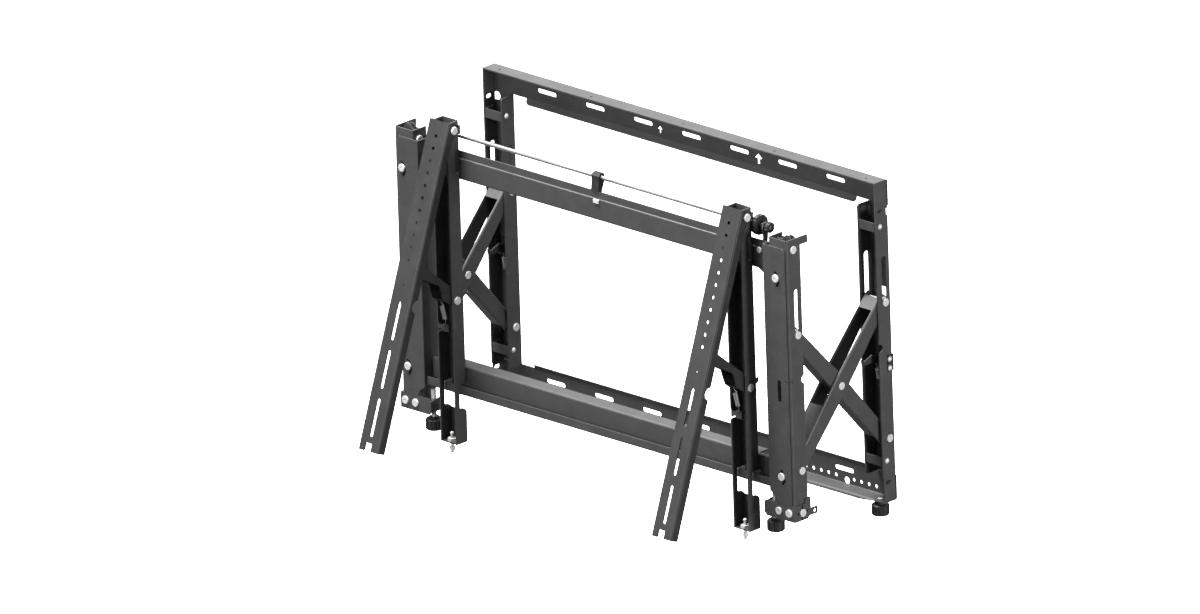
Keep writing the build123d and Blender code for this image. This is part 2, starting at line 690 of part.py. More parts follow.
def slot_plates(side):
    """Clamp plates behind the two curved slots of one post."""
    start = CHANNEL_Y[0] + SHEET
    plates = Part()
    for z in FACE_BOLT_Z:
        face = Pos(side * POST_X, z) * RectangleRounded(30, 42, 3)
        face -= disc((face_bolt_x(side), z), RIVET_SHANK_R)
        plates += through(face, start, start + SLOT_PLATE_T)
    return plates


def post_cap():
    """The bracket on top of the right front post, with its tie ear outside."""
    out_x = WALL_W / 2
    low = FRONT_POST_Z[1] + 0.3
    front, back = CHANNEL_Y
    front += 0.1
    depth = back - front
    place = Pos(POST_X, front) * Rot(Z=180)
    cap = upward(place * channel(POST_W, depth), low, CAP_TOP_Z)
    inset = SHEET + 0.2
    sleeve = Pos(POST_X, front + inset) * Rot(Z=180)
    sleeve = sleeve * channel(POST_W - 2 * inset, depth - inset - 1, 1.6, 2.6)
    cap += upward(sleeve, CAP_PLATE_Z, low + 3)
    ring = Pos(POST_X, front + 0.5) * Rot(Z=180)
    cap += upward(ring * channel(POST_W - 1, depth - 1.5, 3.2, 4.2), low, low + 3)
    for y, tall in ((-214.0, CAP_TOP_Z + 3), (-205.0, CAP_TOP_Z + 1)):
        tooth = outline((POST_X - 17, low), (POST_X + 17, low), (POST_X + 17, low + 9),
                        (POST_X + 10, tall), (POST_X + 3, tall), (POST_X - 3, low + 11),
                        (POST_X - 17, low + 11))
        cap += through(tooth, y, y + 2)
    ear = outline((back - 1, CAP_TOP_Z - 13), (EAR_END_Y, CAP_TOP_Z - 13), (EAR_END_Y, CAP_TOP_Z),
                  (back - 1, CAP_TOP_Z), radius=1.5)
    cap += across(ear, out_x - SHEET, out_x)
    cap -= across(disc((EAR_HOLE_Y, EAR_HOLE_Z[1]), EAR_HOLE_R), out_x - SHEET / 2, out_x + 1)
    cap -= across(disc((CAP_BOLT_Y + 11, CAP_BOLT_Z + 4.5), 2.2), out_x - 3, out_x + 1)
    return cap - across(disc((CAP_BOLT_Y, CAP_BOLT_Z), RIVET_SHANK_R), out_x - POST_W - 1, out_x + 1)


def post_shoe():
    """The bracket round the foot of the right front post; it carries the turning foot."""
    out_x = WALL_W / 2 + SIDE_GAP
    low, high = SHOE_Z
    front_y = CHANNEL_Y[0] - SHEET - 0.1
    front = outline((SHOE_IN_X, low + 6), (SHOE_IN_X + 4, low), (out_x + SHEET, low),
                    (out_x + SHEET, high), (SHOE_IN_X + 4, high), (SHOE_IN_X, high - 4))
    shoe = through(front, front_y, front_y + SHEET)
    wall = outline((front_y, low + 6), (-206, low + 4), (-206, high), (front_y, high - 4))
    shoe += across(wall, SHOE_IN_X, SHOE_IN_X + SHEET)
    side = outline((front_y, low), (-206, low), (-198, low + 4), (SHOE_EAR_END_Y, low + 4),
                   (SHOE_EAR_END_Y, EAR_HOLE_Z[0] + 6), (-196, EAR_HOLE_Z[0] + 6), (-196, SHOE_SIDE_TOP_Z),
                   (-206, SHOE_SIDE_TOP_Z), (-210, high), (front_y, high))
    side -= disc((EAR_HOLE_Y, EAR_HOLE_Z[0]), EAR_HOLE_R)
    cross = Pos(SHOE_SIDE_BOLT_Y, SHOE_BOLT_Z - 1)
    side -= cross * Rectangle(24, 4)
    side -= cross * Rectangle(4, 24)
    shoe += across(side, out_x, out_x + SHEET)
    shelf_x = (SHOE_IN_X, WALL_W / 2 - POST_W - 0.5)
    shelf = block(shelf_x, (front_y, -206), (low + 4, low + 6))
    shoe += shelf - upward(disc((FRONT_FOOT_X, FRONT_FOOT_Y), BOLT_HOLE_R), low, high)
    holes = Sketch() + [disc((x, SHOE_BOLT_Z), RIVET_SHANK_R) for x in SHOE_BOLT_X]
    return shoe - through(holes, front_y - 1, front_y + SHEET + 1)


def cap_bolt():
    """The bolt across the cap, with a second round head on its inner side."""
    inner_head = Pos(0, 0, -POST_W) * Rot(X=180) * bolt_head(RIVET_SHANK_R, 1)
    return bolt_head(RIVET_SHANK_R, POST_W) + inner_head


def front_frame_bolts():
    """Round heads on the right post's shoe and cap, and on the end of the top rail."""
    bolts = Part()
    out_x = WALL_W / 2
    shoe_y = CHANNEL_Y[0] - SHEET - 0.1
    for x in SHOE_BOLT_X:
        bolts += facing_front(x, shoe_y, SHOE_BOLT_Z, bolt_head(RIVET_SHANK_R, SHEET))
    bolts += facing_side(out_x, CAP_BOLT_Y, CAP_BOLT_Z, cap_bolt())
    shoe_x = out_x + SIDE_GAP + SHEET
    bolts += facing_side(shoe_x, SHOE_SIDE_BOLT_Y, SHOE_BOLT_Z - 1, bolt_head(1.9, 2))
    bolts += facing_front(RAIL_BOLT_X, RAIL_FRONT_Y, RAIL_BOLT_Z, bolt_head(RIVET_SHANK_R, SHEET, 5.0, 2.4))
    return bolts


def face_bolts(side):
    """Round heads on the face of one front post."""
    bolts = Part()
    grip = CHANNEL_Y[0] + SHEET + SLOT_PLATE_T - FACE_Y
    for z in FACE_BOLT_Z:
        bolts += facing_front(face_bolt_x(side), FACE_Y, z, bolt_head(RIVET_SHANK_R, grip))
    return bolts


def front_pivot_pin():
    return Pos(POST_X, PIVOT_FRONT_Y, PIVOT_Z) * shoulder_pin(OUTER_ARM_W, FRONT_PIN_R)


def front_top_rail():
    low, step, high = TOP_RAIL_Z
    half = SHEET / 2
    back = RAIL_FRONT_Y + TOP_RAIL_FOOT
    web = RAIL_FRONT_Y + half
    top = web + TOP_RAIL_STEP
    section = trace(Polyline((web, step), (top, step + 1.2), (top, high)), SHEET)
    section += bent_strip([(back, low + half), (web, low + half), (web, step)])
    rail = across(section, -RAIL_END_X, RAIL_END_X)
    gusset = outline((RAIL_END_X - 30, low + 2), (RAIL_END_X, low - 14), (RAIL_END_X, low + 2))
    rail += through(gusset, RAIL_FRONT_Y, RAIL_FRONT_Y + SHEET)
    rail += mirrored(through(gusset, RAIL_FRONT_Y, RAIL_FRONT_Y + SHEET))
    holes = Sketch() + [disc((x, RAIL_BOLT_Z), RIVET_SHANK_R) for x in (-RAIL_BOLT_X, RAIL_BOLT_X)]
    holes += Pos(CLIP_X[1] - 4, step - 2) * Rectangle(9, 3)
    return rail - through(holes, RAIL_FRONT_Y - 1, RAIL_FRONT_Y + 6)


def front_bottom_rail():
    low, high = LOW_RAIL_Z
    half = SHEET / 2
    web = RAIL_FRONT_Y + half
    lip = LOW_RAIL_LIP_Y + half
    section = bent_strip([(LOW_RAIL_BACK_Y, high - half), (web, high - half), (web, low + half),
                          (lip, low + half), (lip, low + LOW_RAIL_LIP_H)])
    rail = across(section, -RAIL_END_X, RAIL_END_X)
    for side in (-1, 1):
        ends = sorted((side * FLANGE_END_X, side * (RAIL_END_X + 1)))
        rail -= block(ends, (RAIL_FRONT_Y + BEND + 1, LOW_RAIL_BACK_Y + 1), (high - SHEET - 1, high + 1))
    gusset = outline((RAIL_END_X - 12, low + 2), (RAIL_END_X, low - 12), (RAIL_END_X, low + 2))
    rail += through(gusset, RAIL_FRONT_Y, RAIL_FRONT_Y + SHEET)
    return rail + mirrored(through(gusset, RAIL_FRONT_Y, RAIL_FRONT_Y + SHEET))


# Turning feet


def foot(x, y, top, stud_top):
    knob = Circle(KNOB_R)
    for i in range(KNOB_LOBES):
        a = 2 * pi * i / KNOB_LOBES
        knob -= disc(((KNOB_R + 0.9) * cos(a), (KNOB_R + 0.9) * sin(a)), 1.9)
    body = upward(knob, top - KNOB_H, top)
    round_off = Pos(0, 0, top - KNOB_H / 2) * Cylinder(KNOB_R, KNOB_H)
    body = body & chamfer(round_off.edges().filter_by(GeomType.CIRCLE), 1.6)
    body += Pos(0, 0, top + 1.5) * Cylinder(8.0, 3)
    length = stud_top - top
    body += Pos(0, 0, top + length / 2) * Cylinder(STUD_R, length)
    return Pos(x, y, 0) * body


# Uprights


def upright():
    """One upright about x = 0, with its hooks over the top rail and its rod lug."""
    front, back = UPRIGHT_Y
    half = UPRIGHT_W / 2
    inner = half - SHEET
    body = upward(Pos(0, back) * channel(UPRIGHT_W, back - front, SHEET, 3.0),
                  UPRIGHT_BOTTOM_Z, TILT_Z + TILT_EYE_R)
    top = TILT_Z + TILT_EYE_R
    corner = outline((front - 1, TILT_Z + 1), (front, TILT_Z + 1), (front + 4.8, top + 1),
                     (front - 1, top + 1))
    body -= across(corner, -half - 1, half + 1)
    body += block((half - SHEET, half), (back - 1, back + 3), (500, 514))
    for side in ((-half - 1, 0.01 - inner), (inner - 0.01, half + 1)):
        body -= block(side, (back - RAIL_NOTCH_D, back - SHEET), RAIL_NOTCH_Z)
    body -= block((-half - 1, half + 1), (LEG_BACK_Y, back + 1), LEG_Z)
    shoulder = block((-half - 1, half + 1), (LEG_BACK_Y, back + 1), (LEG_Z[0] - 14, LEG_Z[0] + 1))
    keep = across(disc((back - 14, LEG_Z[0] - 14), 14), -half - 2, half + 2)
    keep += block((-half - 2, half + 2), (LEG_BACK_Y - 1, back - 14), (0, LEG_Z[0]))
    body -= shoulder - keep
    tab_half = inner - FLOOR_RELIEF
    floor = block((-tab_half, tab_half), (front + 1, back - SHEET),
                  (UPRIGHT_BOTTOM_Z, UPRIGHT_BOTTOM_Z + SHEET))
    body += floor - upward(disc((0, PULL_Y), 4.0), UPRIGHT_BOTTOM_Z - 1, UPRIGHT_BOTTOM_Z + 3)
    window_z = (SPRING_TAB_Z[0] - 3, SPRING_TAB_Z[1])
    body -= block((-half - 1, -inner + 0.01), (front - 1, front + 11), window_z)
    tab = block((-6, 6), (SPRING_TAB_Y, SPRING_TAB_Y + SHEET), SPRING_TAB_Z)
    strap = (SPRING_TAB_Z[0] + 3, SPRING_TAB_Z[1] - 3)
    tab += block((-half, -5), (SPRING_TAB_Y, SPRING_TAB_Y + SHEET), strap)
    tab += block((-half, -inner), (SPRING_TAB_Y, front + 12), SPRING_TAB_Z)
    body += tab - through(disc((0, SPRING_TAB_Z[1] - 4), 1.4), SPRING_TAB_Y - 1, SPRING_TAB_Y + 3)
    hook = outline((back - 1, 476), (back - 1, 483), (back + 7.5, 476), (back + 7.5, 462),
                   (back + 5.2, 462), (back + 5.2, 472.5), (back, 472.5), (back, 476))
    for x in (-13.0, -5.0):
        body += across(hook, x, x + 4)
    lug = outline((back - 1, 484), (back - 1, 500), (ROD_Y, ROD_Z + 8), (ROD_Y + 8, ROD_Z), (back, 484))
    lug = fillet(lug.vertices().sort_by(Axis.X)[-1], 4.0) - disc((ROD_Y, ROD_Z), ROD_BORE_R)
    body += across(lug, -1.5, 1.5)
    tail = outline((back - 1, 227), (back + 6, 231), (back + 6, 238), (back - 1, 236))
    body += across(tail, half - SHEET - 2, half - 2)
    holes = disc((TILT_Y, TILT_Z), BOLT_R) + disc((STAY_Y, STAY_Z), BOLT_R)
    return body - across(holes, -half - 1, half + 1)


def tilt_and_stay_bolts():
    bolts = Part()
    for y, z, half in ((TILT_Y, TILT_Z, BRACKET_W / 2), (STAY_Y, STAY_Z, UPRIGHT_W / 2)):
        reach = half + 0.2
        bolt = Rot(Y=90) * Cylinder(BOLT_R, 2 * reach)
        for side in (-1, 1):
            bolt += facing_side(side * reach, 0, 0, bolt_head(BOLT_R, 1), side)
        bolts += Pos(0, y, z) * bolt
    return bolts


def lock_sleeve():
    """Threaded sleeve and nut that guide the pull pin through the upright's floor."""
    top = UPRIGHT_BOTTOM_Z + SHEET
    nut = upward(RegularPolygon(7.6, 6), top, top + 5)
    sleeve = nut + upward(Circle(3.95), UPRIGHT_BOTTOM_Z - 2, top + 5)
    return Pos(0, PULL_Y, 0) * (sleeve - upward(Circle(PULL_PIN_R + 0.15), -30, 30))


def lock_pin():
    top = UPRIGHT_BOTTOM_Z + SHEET + 5 + LOCK_TRAVEL + 3.5
    pin = upward(Circle(PULL_PIN_R), UPRIGHT_BOTTOM_Z - 8, top)
    pin += Pos(0, 0, top) * Sphere(3.2)
    bead = Pos(0, 0, UPRIGHT_BOTTOM_Z - 10) * Cylinder(BEAD_R, 8)
    bead = fillet(bead.edges().filter_by(GeomType.CIRCLE), 2.2)
    eye = across(disc((0, UPRIGHT_BOTTOM_Z - 15.5), 2.6) - disc((0, UPRIGHT_BOTTOM_Z - 15.8), 1.3),
                 -0.8, 0.8)
    return Pos(0, PULL_Y, 0) * (pin + bead + eye)


def pull_ring():
    """Thin loop through the eye of the pull pin."""
    top = UPRIGHT_BOTTOM_Z - 15.8
    ring = Rot(X=90) * Torus(RING_R, RING_WIRE_R)
    return Pos(0, PULL_Y, top - RING_R) * ring


# Display brackets and stays


def display_bracket():
    """One bracket about x = 0; drawn upright below the pivot, then tilted out."""
    half = BRACKET_W / 2
    bottom = BRACKET_TOP - BRACKET_L
    section = Pos(0, -BRACKET_FACE) * Rot(Z=180) * channel(BRACKET_W, BRACKET_D)
    body = upward(section, bottom, BRACKET_TOP)
    ear = disc((0, 0), 11.4) + outline((-BRACKET_FACE + BEND + 1, -24), (0, -22), (11.2, -2),
                                       (8, BRACKET_TOP), (-BRACKET_FACE + BEND + 1, BRACKET_TOP))
    ear &= Pos(0, -40 + BRACKET_TOP) * Rectangle(60, 80)
    for side in (-1, 1):
        inside, outside = sorted((side * (half - SHEET), side * half))
        body += across(ear, inside, outside)
    notch = Pos(BRACKET_D - BRACKET_FACE, STAY_Z - TILT_Z) * Circle(BOLT_NOTCH_R)
    body -= across(notch, -half - 1, half + 1)
    holes = Sketch()
    for i in range(HOLE_COUNT):
        holes += disc((0, -HOLE_START - i * HOLE_PITCH), HOLE_R)
    holes += disc((0, -HOLE_START - HOLE_SINGLE * HOLE_PITCH), HOLE_R / 2)
    for t in LONG_SLOT_T:
        holes += long_hole((0, -t), LONG_SLOT_L, LONG_SLOT_W, 90)
    holes += Pos(-2, bottom + END_NOTCH_H / 2) * Rectangle(END_NOTCH_W, END_NOTCH_H)
    body -= through(holes, -BRACKET_FACE - 1, -BRACKET_FACE + SHEET + 1)
    return body - across(disc((0, 0), BOLT_HOLE_R), -half - 1, half + 1)


def tilted(solid):
    return Pos(0, TILT_Y, TILT_Z) * Rot(X=-TILT_OPEN) * solid


def stay():
    """One stay about x = 0; drawn upright above its pivot, then swung out."""
    half = STAY_W / 2
    side = outline((12, -2), (13.2, 20), (13.2, 96), (8, 104), (0, STAY_REACH), (-4.5, 99),
                   (-4.5, 88), (3, 46), (-5, 33), (-11.3, 22), (-11.3, 9), (-9, 0), radius=1.5)
    side += disc((0, 0), STAY_EYE_R)
    side -= disc((0, 0), BOLT_HOLE_R)
    body = across(side, half - SHEET, half) + across(side, -half, SHEET - half)
    body += block((-half, half), (13.2 - SHEET, 13.2), (24, 92))
    hanger = Pos(0, *SPRING_EYE) * Rot(Y=90) * Cylinder(1.5, STAY_W - SHEET)
    return Pos(0, STAY_Y, STAY_Z) * Rot(X=STAY_OPEN) * (body + hanger)


def stay_spring():
    turn = radians(STAY_OPEN)
    y, z = SPRING_EYE
    top = (0, STAY_Y + y * cos(turn) - z * sin(turn), STAY_Z + y * sin(turn) + z * cos(turn))
    return coil_spring((0, SPRING_TAB_Y + SHEET / 2, SPRING_TAB_Z[1] + 0.2), top, SPRING_TURNS, 0, 1.9)


# Fine side adjuster


def adjuster_rod():
    length = ROD_X[1] - ROD_X[0]
    return Pos(sum(ROD_X) / 2, ROD_Y, ROD_Z) * Rot(Y=90) * Cylinder(ROD_R, length)


def knob_body(radius, lobes, span):
    sketch = Circle(radius)
    for i in range(lobes):
        a = 2 * pi * i / lobes
        sketch -= disc(((radius + 1.2) * cos(a), (radius + 1.2) * sin(a)), 2.6)
    body = across(sketch, *span)
    round_off = Pos(sum(span) / 2, 0, 0) * Rot(Y=90) * Cylinder(radius, span[1] - span[0])
    body = body & chamfer(round_off.edges().filter_by(GeomType.CIRCLE), 1.4)
    return Pos(0, ROD_Y, ROD_Z) * (body - across(Circle(ROD_R), span[0] - 1, span[1] + 1))


def rod_clip():
    """Plastic clip on the top rail that the rod turns and slides in."""
    side = outline((RAIL_FRONT_Y, 471.3), (-207, 471.3), (-207, 459), (-204.4, 459), (-204.4, 472),
                   (-197.5, 489), (-197, 494), (-200, 500), (-207, 500.5), (-211, 496), (-211, 489))
    side -= disc((ROD_Y, ROD_Z), ROD_BORE_R)
    return across(side, *CLIP_X)


def clip_screw():
    x = CLIP_X[1] - 4
    z = TOP_RAIL_Z[1] - 2
    head = block((x - 6, x + 6), (RAIL_FRONT_Y - 2.5, RAIL_FRONT_Y), (z - 3, z + 3))
    return head + block((x - 4, x + 4), (RAIL_FRONT_Y - 1, -207.1), (z - 1.3, z + 1.3))


def rod_stand():
    """Steel stand on the top rail that steadies the rod beside the knob."""
    side = outline((RAIL_FRONT_Y + TOP_RAIL_STEP + SHEET, 460), (-201, 460), (-197.5, 490),
                   (-200, 499), (-208, 499), (-210.5, 490), (-207.5, 474), (RAIL_FRONT_Y + 4, 472))
    side -= disc((ROD_Y, ROD_Z), ROD_BORE_R)
    return across(side, *STAND_X)


def save(name, solid):
    export_step(Pos(0, 0, -ORIGIN_Z) * solid, f"parts/{name}.step")


def save_pair(pattern, right):
    """Save a right-hand piece and its mirror image under the two side names."""
    save(pattern.format("right"), right)
    save(pattern.format("left"), mirrored(right))


def save_twins(pattern, middle):
    """Save two equal pieces, one at each upright."""
    save(pattern.format("right"), Pos(UPRIGHT_X, 0, 0) * middle)
    save(pattern.format("left"), Pos(-UPRIGHT_X, 0, 0) * middle)


def both_sides(right):
    return right + mirrored(right)


def main():
    os.makedirs("parts", exist_ok=True)
    save("wall_top_rail", wall_top_rail())
    save("wall_bottom_rail", wall_bottom_rail())
    save_pair("wall_{}_post", wall_post())
    save("wall_post_straps", both_sides(post_straps()))
    save("wall_post_rivets", both_sides(post_rivets()))
    save("wall_pivot_pins", both_sides(wall_pivot_pin()))
    save("latch_brackets", both_sides(latch_bracket()))
    save("latch_pins", both_sides(latch_pin()))
    save_pair("{}_latch_hook", latch_hook())
    save_pair("{}_latch_spring", latch_spring())
    save_pair("wall_{}_foot", foot(POST_X, WALL_FOOT_Y, WALL_FOOT_TOP, WALL_STUD_TOP))

    save_pair("{}_inner_arm", Pos(POST_X, 0, 0) * inner_arm())
    save_pair("{}_outer_arm", Pos(POST_X, 0, 0) * outer_arm())
    save_pair("{}_front_slide_pin", slide_pin(PIVOT_FRONT_Y, INNER_ARM_W, FRONT_PIN_R))
    save_pair("{}_wall_slide_pin", slide_pin(PIVOT_WALL_Y, OUTER_ARM_W, PIN_R))
    save_pair("{}_cross_bolt", cross_bolt())

    post = front_post()
    save("front_right_post", post - face_cuts(1))
    save("front_left_post", mirrored(post) - face_cuts(-1))
    save_pair("front_{}_post_cap", post_cap())
    save_pair("front_{}_post_shoe", post_shoe())
    save("front_slot_plates", slot_plates(1) + slot_plates(-1))
    save("front_frame_bolts", both_sides(front_frame_bolts()) + face_bolts(1) + face_bolts(-1))
    save("front_pivot_pins", both_sides(front_pivot_pin()))
    save("front_top_rail", front_top_rail())
    save("front_bottom_rail", front_bottom_rail())
    save_pair("front_{}_foot", foot(FRONT_FOOT_X, FRONT_FOOT_Y, FRONT_FOOT_TOP, FRONT_STUD_TOP))

    save_twins("{}_upright", upright())
    save_twins("{}_upright_bolts", tilt_and_stay_bolts())
    save_twins("{}_lock_sleeve", lock_sleeve())
    save_twins("{}_lock_pin", lock_pin())
    save_twins("{}_pull_ring", pull_ring())
    save_twins("{}_display_bracket", tilted(display_bracket()))
    save_twins("{}_stay", stay())
    save_twins("{}_stay_spring", stay_spring())

    save("adjuster_rod", adjuster_rod())
    save("adjuster_knob", knob_body(DISC_R, 8, DISC_X))
    save("adjuster_lock_knob", knob_body(END_KNOB_R, 6, END_KNOB_X))
    save("rod_clip", rod_clip())
    save("rod_clip_screw", clip_screw())
    save("rod_stand", rod_stand())


main()
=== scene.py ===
import json
import math

import bmesh
import bpy
from mathutils import Matrix, Vector

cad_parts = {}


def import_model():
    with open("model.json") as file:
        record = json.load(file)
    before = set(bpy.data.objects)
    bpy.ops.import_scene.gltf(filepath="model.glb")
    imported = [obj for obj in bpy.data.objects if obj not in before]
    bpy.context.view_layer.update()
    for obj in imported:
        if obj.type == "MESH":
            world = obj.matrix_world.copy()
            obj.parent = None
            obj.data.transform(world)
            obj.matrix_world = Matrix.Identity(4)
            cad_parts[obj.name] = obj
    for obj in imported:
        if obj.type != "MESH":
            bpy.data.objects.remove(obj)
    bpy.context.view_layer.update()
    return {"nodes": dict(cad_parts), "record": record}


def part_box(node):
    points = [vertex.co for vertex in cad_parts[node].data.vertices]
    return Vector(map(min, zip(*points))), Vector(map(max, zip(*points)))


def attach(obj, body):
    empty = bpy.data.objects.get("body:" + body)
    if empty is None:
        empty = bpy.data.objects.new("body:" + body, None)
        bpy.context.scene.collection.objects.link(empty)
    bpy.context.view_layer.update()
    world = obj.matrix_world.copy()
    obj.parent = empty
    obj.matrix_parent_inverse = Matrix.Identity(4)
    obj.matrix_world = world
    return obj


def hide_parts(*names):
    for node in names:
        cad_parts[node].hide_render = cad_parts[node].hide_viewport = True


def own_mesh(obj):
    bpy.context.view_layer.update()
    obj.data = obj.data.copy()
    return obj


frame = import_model()
nodes = frame["nodes"]

SIDES = (("right", 1), ("left", -1))
MM = 0.001
BENCH_Z = 265.0


def bench(x, y, z):
    """A point given in millimetres above the wall frame's foot, in the row frame."""
    return Vector((x * MM, y * MM, (z - BENCH_Z) * MM))


# Colour and node helpers


def paint(code):
    """A screen colour such as 4a4a4a as linear values."""
    parts = [int(code[i:i + 2], 16) / 255 for i in (0, 2, 4)]
    return tuple(c / 12.92 if c <= 0.04045 else ((c + 0.055) / 1.055) ** 2.4 for c in parts) + (1.0,)


def add(tree, kind, links=(), **values):
    """Adds a node, sets its properties or sockets, and links sockets from (name, output)."""
    node = tree.nodes.new(kind)
    for name, value in values.items():
        socket = name.replace("_", " ")
        if hasattr(node, name):
            setattr(node, name, value)
        else:
            node.inputs[socket].default_value = value
    for name, output in links:
        tree.links.new(output, node.inputs[name])
    return node


def material(name):
    made = bpy.data.materials.new(name)
    made.use_nodes = True
    made.node_tree.nodes.clear()
    return made, made.node_tree


def noise(tree, grain, detail=4.0, rough=0.5, stretch=None):
    """Noise with spots about grain millimetres wide, fixed to the piece's own coordinates."""
    where = add(tree, "ShaderNodeTexCoord").outputs["Object"]
    if stretch:
        mapping = add(tree, "ShaderNodeMapping", [("Vector", where)], Scale=stretch)
        where = mapping.outputs["Vector"]
    links = [("Vector", where)]
    made = add(tree, "ShaderNodeTexNoise", links,
               Scale=1 / (grain * MM), Detail=detail, Roughness=rough)
    return made.outputs["Fac"]


def spread(tree, value, low, high, start=0.3, end=0.7):
    """Stretches a value between start and end to run from low to high."""
    made = add(tree, "ShaderNodeMapRange", [("Value", value)],
               From_Min=start, From_Max=end, To_Min=low, To_Max=high)
    return made.outputs["Result"]


def mixed(tree, share, first, second):
    """Mixes two colours, each a colour value or an output, by a share from 0 to 1."""
    made = add(tree, "ShaderNodeMix", data_type="RGBA")
    tree.links.new(share, made.inputs["Factor"])
    for socket, value in ((MIX_FIRST_COLOUR, first), (MIX_SECOND_COLOUR, second)):
        if isinstance(value, tuple):
            made.inputs[socket].default_value = value
        else:
            tree.links.new(value, made.inputs[socket])
    return made.outputs[MIX_COLOUR_OUT]


MIX_FIRST_COLOUR = 6
MIX_SECOND_COLOUR = 7
MIX_COLOUR_OUT = 2


def bumped(tree, height, strength):
    made = add(tree, "ShaderNodeBump", [("Height", height)], Strength=strength, Distance=BUMP_DEPTH)
    return made.outputs["Normal"]


BUMP_DEPTH = 0.2 * MM


def finish_shader(tree, colour, roughness, normal, **values):
    links = [("Base Color", colour), ("Roughness", roughness), ("Normal", normal)]
    shader = add(tree, "ShaderNodeBsdfPrincipled", links, **values)
    add(tree, "ShaderNodeOutputMaterial", [("Surface", shader.outputs["BSDF"])])


# Black powder coat, sprayed and baked on pressed steel: a half matt grey black with a soft
# cloudy gloss, and faint paler patches where hands have rubbed it. The sprayed grain is finer
# than 0.1 mm, so it is drawn near 0.4 mm to show.
def powder_coat(name, dark, light, rub, gloss):
    made, tree = material(name)
    cloud = noise(tree, 26.3, 5.0)
    colour = mixed(tree, spread(tree, cloud, 0.0, 1.0), paint(dark), paint(light))
    rubbed = spread(tree, noise(tree, 71.4, 6.0, 0.62), 0.0, 0.5, 0.56, 0.72)
    colour = mixed(tree, rubbed, colour, paint(rub))
    rough = spread(tree, noise(tree, 6.25, 3.0), 0.40, 0.52)
    normal = bumped(tree, noise(tree, 0.385, 2.0), 0.16)
    finish_shader(tree, colour, rough, normal, Specular_IOR_Level=gloss)
    return made


# Zinc plate on steel, electroplated and passivated: pale grey, softly cloudy, with blurred
# highlights. Its crystals are drawn near 1 mm wide, because the real ones are too fine to show.
def zinc_plate(name, dark, light, metallic):
    made, tree = material(name)
    colour = mixed(tree, spread(tree, noise(tree, 2.38), 0.0, 1.0), paint(dark), paint(light))
    rough = spread(tree, noise(tree, 1.11, 3.0), 0.42, 0.55)
    normal = bumped(tree, noise(tree, 0.417, 2.0), 0.06)
    finish_shader(tree, colour, rough, normal, Metallic=metallic)
    return made


# Cold drawn bright steel: fine lines along the rod's length, which blur its highlight round it.
def drawn_rod(name):
    made, tree = material(name)
    lines = noise(tree, 3.33, 3.0, stretch=(0.04, 8.0, 8.0))
    colour = mixed(tree, spread(tree, lines, 0.0, 1.0), paint("9a9c9d"), paint("c4c5c5"))
    rough = spread(tree, lines, 0.22, 0.38)
    normal = bumped(tree, lines, 0.1)
    finish_shader(tree, colour, rough, normal, Metallic=1.0)
    return made


# Injection moulded black nylon of the feet and knobs: deep black, with a fine eroded texture
# that leaves only a dull sheen.
def moulded(name, dark, light):
    made, tree = material(name)
    colour = mixed(tree, spread(tree, noise(tree, 11.1), 0.0, 1.0), paint(dark), paint(light))
    rough = spread(tree, noise(tree, 2.0, 2.0), 0.42, 0.58)
    normal = bumped(tree, noise(tree, 0.294, 2.0), 0.2)
    finish_shader(tree, colour, rough, normal, Specular_IOR_Level=0.25)
    return made


# Moulded clear nylon of the pull loops: thin, milky and a little see-through.
def clear_nylon(name):
    made, tree = material(name)
    cloud = noise(tree, 3.33, 3.0)
    colour = mixed(tree, spread(tree, cloud, 0.0, 1.0), paint("dcdcda"), paint("f2f2f0"))
    rough = spread(tree, cloud, 0.2, 0.35)
    normal = bumped(tree, noise(tree, 0.5, 2.0), 0.1)
    finish_shader(tree, colour, rough, normal, Transmission_Weight=0.6, IOR=1.53)
    return made


COAT = powder_coat("powder_coat_on_pressed_steel", "2c2c2c", "313131", "3a3a3a", 0.28)
# A darker, less glossy copy of the same coat for the display brackets: its darker colour is painted
# shade.
COAT_BRACKET_PAINTED_SHADE = powder_coat("powder_coat_painted_shade_on_display_bracket", "1d1d1d", "222222", "2a2a2a", 0.14)
# A darker copy of the same coat for the stays, latch parts, front slot plates and the adjuster rod's
# thread: its darker colour is painted shade.
COAT_PAINTED_SHADE = powder_coat("powder_coat_painted_shade_on_inner_fittings", "1c1c1c", "222222", "2a2a2a", 0.2)
ZINC = zinc_plate("zinc_plate_on_fasteners", "9c9c99", "a8a8a5", 0.25)
SPRING = zinc_plate("zinc_plate_on_spring_wire", "848484", "9c9c9c", 0.8)

FINISH = {
    "black_steel": COAT,
    "zinc_steel": ZINC,
    "rod_steel": drawn_rod("cold_drawn_bright_steel"),
    "spring_steel": SPRING,
    "black_plastic": moulded("moulded_black_nylon", "0d0d0d", "151515"),
    "clear_nylon": clear_nylon("moulded_clear_nylon"),
}


def finish_of(name, slot):
    """The finish of a node: its slot's own, or a darker copy of the coat, painted shade, on brackets
    and inner fittings.
    """
    if "display_bracket" in name:
        return COAT_BRACKET_PAINTED_SHADE
    inner = name.endswith("_stay") or "latch_" in name or name == "front_slot_plates"
    return COAT_PAINTED_SHADE if inner and FINISH[slot] is COAT else FINISH[slot]


def dress_nodes():
    for row in frame["record"]["subparts"]:
        name = row["node"]
        slots = nodes[name].data.materials
        slots.clear()
        slots.append(finish_of(name, row["material_slot"]))
        if name.endswith("_foot"):
            bare_stud(name)


STUD_ABOVE = 20.0 * MM
STUD_REACH = 5.0 * MM


def bare_stud(name):
    """Gives the threaded stud above a moulded foot its own zinc finish."""
    low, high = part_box(name)
    middle = (Vector(low) + Vector(high)) / 2
    data = nodes[name].data
    data.materials.append(ZINC)
    for face in data.polygons:
        away = (face.center - middle).xy.length
        if away < STUD_REACH and face.center.z > low[2] + STUD_ABOVE:
            face.material_index = 1


# Pieces added to the CAD nodes


